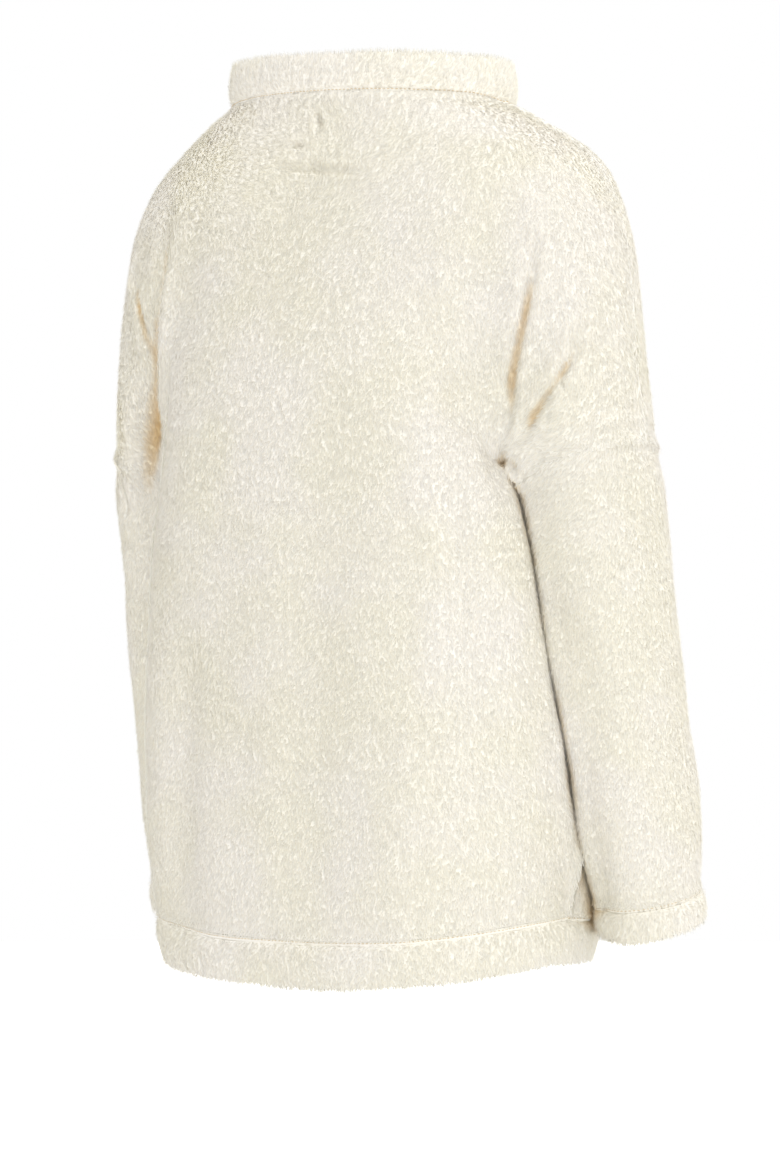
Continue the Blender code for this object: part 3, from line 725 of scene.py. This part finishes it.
def pile_tree():
    """Geometry Nodes that set locks of pile over a ground: thin tapered blades that lie along the nap."""
    tree, given = new_geometry_tree("pile", (
        ("Density", "Float"), ("Length", "Float"), ("Width", "Float"), ("Rise", "Float"),
        ("Rise spread", "Float"), ("Stand", "Float"), ("Sway", "Float"), ("Seed", "Int"),
        ("Material", "Material")))
    place = add(tree, "GeometryNodeInputPosition").outputs["Position"]

    # One lock: a thin triangle from its root at the origin to its tip one unit along X.
    disc = add(tree, "GeometryNodeMeshCircle", {"Vertices": 3, "Radius": 1.0}, fill_type="NGON")
    blade = add(tree, "GeometryNodeTransform", {
        "Geometry": disc.outputs["Mesh"], "Translation": (1 / 3, 0, 0),
        "Scale": (2 / 3, 1 / math.sqrt(3), 1)})
    split = add(tree, "ShaderNodeSeparateXYZ", {"Vector": place})
    blade = add(tree, "GeometryNodeStoreNamedAttribute", {
        "Geometry": blade.outputs["Geometry"], "Name": "lock_along", "Value": split.outputs["X"]},
        data_type="FLOAT")

    spread = add(tree, "GeometryNodeDistributePointsOnFaces", {
        "Mesh": given["Geometry"], "Density": given["Density"], "Seed": given["Seed"]})
    nap = add(tree, "GeometryNodeInputNamedAttribute", {"Name": "nap"}, data_type="FLOAT_VECTOR")
    height = add(tree, "GeometryNodeInputNamedAttribute", {"Name": "pile_height"}, data_type="FLOAT")

    # Neighbouring locks cling together in tufts, so they share a turn and a rise.
    tuft = add(tree, "ShaderNodeTexNoise", {"Vector": place, "Scale": 1 / TUFT, "Detail": 1.0})
    sway = add(tree, "ShaderNodeVectorMath", {
        0: tuft.outputs["Color"], 1: (0.5, 0.5, 0.5)}, operation="SUBTRACT")
    sway = add(tree, "ShaderNodeVectorMath", {
        0: sway.outputs["Vector"], "Scale": given["Sway"]}, operation="SCALE")
    loose = add(tree, "FunctionNodeRandomValue", {
        "Min": (-STRAY, -STRAY, -STRAY), "Max": (STRAY, STRAY, STRAY), "Seed": given["Seed"]},
        data_type="FLOAT_VECTOR")
    pulled = add(tree, "ShaderNodeVectorMath", {
        0: sway.outputs["Vector"], 1: nap.outputs["Attribute"]}, operation="ADD")
    pulled = add(tree, "ShaderNodeVectorMath", {
        0: pulled.outputs["Vector"], 1: loose.outputs["Value"]}, operation="ADD")
    upright = add(tree, "FunctionNodeAlignRotationToVector", {"Vector": spread.outputs["Normal"]}, axis="Z")
    combed = add(tree, "FunctionNodeAlignRotationToVector", {
        "Rotation": upright.outputs["Rotation"], "Vector": pulled.outputs["Vector"]},
        axis="X", pivot_axis="Z")
    order = add(tree, "GeometryNodeInputIndex")
    chance = add(tree, "FunctionNodeRandomValue", {
        "Seed": given["Seed"], "ID": order.outputs[0]}, data_type="FLOAT")
    rise = add(tree, "ShaderNodeMath", {
        0: tuft.outputs["Fac"], 1: given["Rise spread"], 2: given["Rise"]}, operation="MULTIPLY_ADD")

    # A few locks stand up on their own, and all do where the cloth turns over an edge.
    rare = add(tree, "ShaderNodeMath", {0: chance.outputs[1], 1: RARENESS}, operation="POWER")
    stand = add(tree, "GeometryNodeInputNamedAttribute", {"Name": "stand"}, data_type="FLOAT")
    standing = add(tree, "ShaderNodeMath", {
        0: rare.outputs[0], 1: RARE_STAND, 2: stand.outputs["Attribute"]}, operation="MULTIPLY_ADD")
    rise = add(tree, "ShaderNodeMath", {
        0: standing.outputs[0], 1: given["Stand"], 2: rise.outputs[0]}, operation="MULTIPLY_ADD")
    raised = add(tree, "ShaderNodeMath", {0: rise.outputs[0], 1: -1.0}, operation="MULTIPLY")
    tilt = add(tree, "ShaderNodeCombineXYZ", {"Y": raised.outputs[0]})
    tilt = add(tree, "FunctionNodeEulerToRotation", {"Euler": tilt.outputs[0]})
    turned = add(tree, "FunctionNodeRotateRotation", {
        "Rotation": combed.outputs["Rotation"], "Rotate By": tilt.outputs["Rotation"]},
        rotation_space="LOCAL")

    long = add(tree, "ShaderNodeMapRange", {
        "Value": chance.outputs[1], "To Min": SHORTEST, "To Max": LONGEST})
    long = add(tree, "ShaderNodeMath", {
        0: long.outputs["Result"], 1: height.outputs["Attribute"]}, operation="MULTIPLY")
    long = add(tree, "ShaderNodeMath", {0: long.outputs[0], 1: given["Length"]}, operation="MULTIPLY")
    scale = add(tree, "ShaderNodeCombineXYZ", {
        "X": long.outputs[0], "Y": given["Width"], "Z": given["Length"]})

    points = add(tree, "GeometryNodeStoreNamedAttribute", {
        "Geometry": spread.outputs["Points"], "Name": "cloth_normal", "Value": spread.outputs["Normal"]},
        data_type="FLOAT_VECTOR")
    points = add(tree, "GeometryNodeStoreNamedAttribute", {
        "Geometry": points.outputs["Geometry"], "Name": "lock_tone", "Value": chance.outputs[1]},
        data_type="FLOAT")
    locks = add(tree, "GeometryNodeInstanceOnPoints", {
        "Points": points.outputs["Geometry"], "Instance": blade.outputs["Geometry"],
        "Rotation": turned.outputs["Rotation"], "Scale": scale.outputs[0]})
    real = add(tree, "GeometryNodeRealizeInstances", {"Geometry": locks.outputs["Instances"]})
    worn = add(tree, "GeometryNodeSetMaterial", {
        "Geometry": real.outputs["Geometry"], "Material": given["Material"]})
    add(tree, "NodeGroupOutput", {"Geometry": worn.outputs["Geometry"]})
    return tree


def run_tree(mesh, tree, name, **values):
    """The result, as a plain mesh, of a Geometry Nodes tree run on a mesh with these named inputs."""
    thing = bpy.data.objects.new(name, mesh)
    modifier = thing.modifiers.new("made", "NODES")
    modifier.node_group = tree
    sockets = {s.name: s.identifier for s in tree.interface.items_tree if s.in_out == "INPUT"}
    for key, value in values.items():
        modifier[sockets[key.replace("_", " ")]] = value
    bpy.context.scene.collection.objects.link(thing)
    result = evaluated_mesh(thing)
    bpy.data.objects.remove(thing)
    result.name = name
    return result


def soften(mesh, share):
    """Turns the shading of each lock towards that of the cloth below it, as light does in a soft pile."""
    count = len(mesh.vertices)
    cloth = np.empty(3 * count, np.float32)
    mesh.attributes["cloth_normal"].data.foreach_get("vector", cloth)
    own = read_points(mesh)[1]
    mixed = own * (1 - share) + cloth.reshape(-1, 3) * share
    mixed /= np.maximum(np.linalg.norm(mixed, axis=1), 1e-6)[:, None]
    mesh.polygons.foreach_set("use_smooth", np.ones(len(mesh.polygons), bool))
    mesh.normals_split_custom_set_from_vertices(mixed.astype(np.float32))
    for name in ("cloth_normal", "nap", "pile_height", "stand"):
        mesh.attributes.remove(mesh.attributes[name])


def show(mesh, name):
    """A finished piece: an object at the origin that rides on the body."""
    piece = bpy.data.objects.new(name, mesh)
    bpy.context.scene.collection.objects.link(piece)
    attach(piece, BODY)
    return piece


def make_ground_piece(node, mesh, material):
    """The ground as a piece that stands for its solid: a panel gets its own thickness, a band has one."""
    shell = mesh.copy()
    for name in ("nap", "pile_height", "stand"):
        shell.attributes.remove(shell.attributes[name])
    shell.materials.clear()
    shell.materials.append(material)
    shell.polygons.foreach_set("use_smooth", np.ones(len(shell.polygons), bool))
    if node in PANELS:
        thing = bpy.data.objects.new(node, shell)
        bpy.context.scene.collection.objects.link(thing)
        modifier = thing.modifiers.new("thickness", "SOLIDIFY")
        modifier.thickness = GROUND_THICK
        modifier.offset = -1
        shell = evaluated_mesh(thing)
        bpy.data.objects.remove(thing)
    piece = show(shell, node + "_ground")
    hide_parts(node)
    return piece


def make_cloth():
    """Every piece of cloth: its ground and its pile."""
    grounds, single = make_grounds()
    describe_grounds(grounds, single)
    ground_finish, pile_finish, tree = ground_material(), pile_material(), pile_tree()
    for seed, (node, cloth) in enumerate(CLOTHS.items()):
        ground = make_ground_piece(node, grounds[node], ground_finish)
        pile = run_tree(grounds[node], tree, node + "_pile", Density=PILE_DENSITY,
                        Length=cloth.length * MM, Width=LOCK_WIDTH, Rise=RISE, Rise_spread=RISE_SPREAD,
                        Stand=STAND, Sway=cloth.sway, Seed=seed + FIRST_SEED, Material=pile_finish)
        soften(pile, SOFT_SHARE)
        fur = show(pile, node + "_pile")
    return grounds, single, ground_finish


def seam_tree():
    """Geometry Nodes that lay a pressed rib and its stitches along a seam."""
    tree, given = new_geometry_tree("seam", (
        ("Rib", "Float"), ("Rib step", "Float"), ("Stitch", "Float"), ("Thread", "Float"),
        ("Cloth", "Material"), ("Material", "Material")))
    line = add(tree, "GeometryNodeMeshToCurve", {"Mesh": given["Geometry"]})

    # The rib: a tube along the seam.
    ring = add(tree, "GeometryNodeCurvePrimitiveCircle", {"Resolution": 6, "Radius": given["Rib"]})
    even = add(tree, "GeometryNodeResampleCurve", {
        "Curve": line.outputs["Curve"], "Length": given["Rib step"]}, mode="LENGTH")
    rib = add(tree, "GeometryNodeCurveToMesh", {
        "Curve": even.outputs["Curve"], "Profile Curve": ring.outputs["Curve"], "Fill Caps": True})
    rib = add(tree, "GeometryNodeSetMaterial", {
        "Geometry": rib.outputs["Mesh"], "Material": given["Cloth"]})

    # The stitches: long beads of thread that lie on the outer side of the rib.
    steps = add(tree, "GeometryNodeResampleCurve", {
        "Curve": line.outputs["Curve"], "Length": given["Stitch"]}, mode="LENGTH")
    bead = add(tree, "GeometryNodeMeshIcoSphere", {"Radius": 1.0, "Subdivisions": 1})
    tangent = add(tree, "GeometryNodeInputTangent")
    turned = add(tree, "FunctionNodeAlignRotationToVector", {"Vector": tangent.outputs["Tangent"]}, axis="X")
    half = add(tree, "ShaderNodeMath", {0: given["Stitch"], 1: STITCH_HALF}, operation="MULTIPLY")
    size = add(tree, "ShaderNodeCombineXYZ", {
        "X": half.outputs[0], "Y": given["Thread"], "Z": given["Thread"]})
    out = add(tree, "GeometryNodeInputNamedAttribute", {"Name": "out"}, data_type="FLOAT_VECTOR")
    rise = add(tree, "ShaderNodeVectorMath", {
        0: out.outputs["Attribute"], "Scale": given["Rib"]}, operation="SCALE")
    lift = add(tree, "GeometryNodeSetPosition", {
        "Geometry": steps.outputs["Curve"], "Offset": rise.outputs["Vector"]})
    stitches = add(tree, "GeometryNodeInstanceOnPoints", {
        "Points": lift.outputs["Geometry"], "Instance": bead.outputs["Mesh"],
        "Rotation": turned.outputs["Rotation"], "Scale": size.outputs[0]})
    real = add(tree, "GeometryNodeRealizeInstances", {"Geometry": stitches.outputs["Instances"]})
    worn = add(tree, "GeometryNodeSetMaterial", {
        "Geometry": real.outputs["Geometry"], "Material": given["Material"]})

    both = add(tree, "GeometryNodeJoinGeometry", {"Geometry": rib.outputs["Geometry"]})
    tree.links.new(worn.outputs["Geometry"], both.inputs["Geometry"])
    add(tree, "NodeGroupOutput", {"Geometry": both.outputs["Geometry"]})
    return tree


def seam_path(name, runs, grounds, single):
    """The line of a pressed seam, midway between the borders that it joins and sunk in the cloth."""
    points, lines, ways = [], [], []
    for node, other in runs:
        mesh, band = grounds[node], grounds[other]
        indices, edges = border_points(mesh)
        nearest = {i: neighbour(mesh.vertices[i].co, node, single) for i in indices}
        facing = BVHTree.FromPolygons([v.co for v in band.vertices], [p.vertices for p in band.polygons])
        places = {}
        for a, b in edges:
            verts = [mesh.vertices[a], mesh.vertices[b]]
            away = max(facing.find_nearest(vertex.co)[3] for vertex in verts)
            if other not in (nearest[a], nearest[b]) or away > SEAM_GAP:
                continue
            for vertex in verts:
                if vertex.index not in places:
                    places[vertex.index] = len(points)
                    across = facing.find_nearest(vertex.co)[0]
                    points.append((vertex.co + across) / 2 - vertex.normal * SEAM_SINK)
                    ways.append(vertex.normal.copy())
            lines.append((places[a], places[b]))
    path = bpy.data.meshes.new(name)
    path.from_pydata(points, lines, [])
    store(path, "out", "FLOAT_VECTOR", ways)
    return path


def make_seams(grounds, single, cloth_finish):
    """A sewn line along every pressed seam, down in the pile."""
    finish, tree = seam_material(), seam_tree()
    for name, runs in SEAMS.items():
        path = seam_path(name, runs, grounds, single)
        sewn = run_tree(path, tree, name, Rib=RIB, Rib_step=RIB_STEP, Stitch=STITCH, Thread=THREAD,
                        Cloth=cloth_finish, Material=finish)
        sewn.polygons.foreach_set("use_smooth", np.ones(len(sewn.polygons), bool))
        piece = show(sewn, name)


def make_camera():
    """The view from behind, level with the middle of the picture."""
    ahead = Vector((math.sin(CAMERA_TURN), -math.cos(CAMERA_TURN), 0))
    right = ahead.cross(Vector((0, 0, 1)))
    data = bpy.data.cameras.new("camera")
    data.sensor_width = SENSOR
    data.lens = SENSOR * CAMERA_DISTANCE / FRAME_HEIGHT
    camera = bpy.data.objects.new("camera", data)
    camera.location = right * CAMERA_SIDE - ahead * CAMERA_DISTANCE + Vector((0, 0, CAMERA_LEVEL))
    camera.rotation_mode = "QUATERNION"
    camera.rotation_quaternion = ahead.to_track_quat("-Z", "Y")
    bpy.context.scene.collection.objects.link(camera)
    bpy.context.scene.camera = camera
    return ahead, right


def make_lamp():
    """A round soft box straight above the garment, that shines down on it."""
    data = bpy.data.lights.new("top", "AREA")
    data.shape = "DISK"
    data.size = LAMP_SIZE
    data.energy = LAMP_POWER
    lamp = bpy.data.objects.new("top", data)
    lamp.location = (0, 0, LAMP_LEVEL)
    bpy.context.scene.collection.objects.link(lamp)


def floor_material():
    """Matt white studio paper, with a glow of its own so that it stays white."""
    material, tree = new_material("matt_floor_paper")
    place = add(tree, "ShaderNodeTexCoord").outputs["Object"]
    tooth = add(tree, "ShaderNodeTexNoise", {"Vector": place, "Scale": 400.0})
    rough = add(tree, "ShaderNodeMapRange", {"Value": tooth.outputs["Fac"], "To Min": 0.85, "To Max": 0.95})
    shader = add(tree, "ShaderNodeBsdfPrincipled", {
        "Base Color": linear("#F4F4F2"), "Roughness": rough.outputs["Result"], "Specular IOR Level": 0.1,
        "Emission Color": linear("#FFFFFF"), "Emission Strength": FLOOR_GLOW})
    add(tree, "ShaderNodeOutputMaterial", {"Surface": shader.outputs["BSDF"]})
    material.cycles.emission_sampling = "NONE"
    return material


def make_floor():
    """A plain round floor, wide enough to fill every view from above."""
    form = bmesh.new()
    bmesh.ops.create_circle(form, cap_ends=True, segments=96, radius=FLOOR_RADIUS)
    bmesh.ops.translate(form, verts=form.verts, vec=(0, 0, FLOOR_LEVEL))
    mesh = bpy.data.meshes.new("floor")
    form.to_mesh(mesh)
    form.free()
    mesh.materials.append(floor_material())
    floor = bpy.data.objects.new("floor", mesh)
    bpy.context.scene.collection.objects.link(floor)
    floor.visible_diffuse = floor.visible_glossy = False


def light_room(sides):
    """White walls all round that send back some light: each side its own strength, easing into the next.
    Seen straight on, they are plain white."""
    world = bpy.data.worlds.new("studio")
    world.use_nodes = True
    tree = world.node_tree
    tree.nodes.clear()
    towards = add(tree, "ShaderNodeTexCoord").outputs["Generated"]
    total = 0.0
    for name, side in sides.items():
        facing = add(tree, "ShaderNodeVectorMath", {0: towards, 1: side}, operation="DOT_PRODUCT")
        facing = add(tree, "ShaderNodeMath", {0: facing.outputs["Value"], 1: 0.0}, operation="MAXIMUM")
        total = add(tree, "ShaderNodeMath", {0: facing.outputs[0], 1: ROOM_LIGHT[name], 2: total},
                    operation="MULTIPLY_ADD").outputs[0]
    light = add(tree, "ShaderNodeBackground", {"Color": linear("#FFFFFF"), "Strength": total})
    plain = add(tree, "ShaderNodeBackground", {"Color": linear("#FFFFFF"), "Strength": 1.0})
    seen = add(tree, "ShaderNodeLightPath")
    both = add(tree, "ShaderNodeMixShader", {
        0: seen.outputs["Is Camera Ray"], 1: light.outputs[0], 2: plain.outputs[0]})
    add(tree, "ShaderNodeOutputWorld", {"Surface": both.outputs[0]})
    bpy.context.scene.world = world


def make_studio(ahead, right):
    """The floor, the lamp above and the light of a white room, brightest from the picture's right and from
    behind the camera."""
    make_floor()
    make_lamp()
    up = Vector((0, 0, 1))
    light_room({"right": right, "left": -right, "up": up, "down": -up, "back": -ahead, "ahead": ahead})
    bpy.context.scene.view_settings.view_transform = "Standard"


make_studio(*make_camera())
make_seams(*make_cloth())
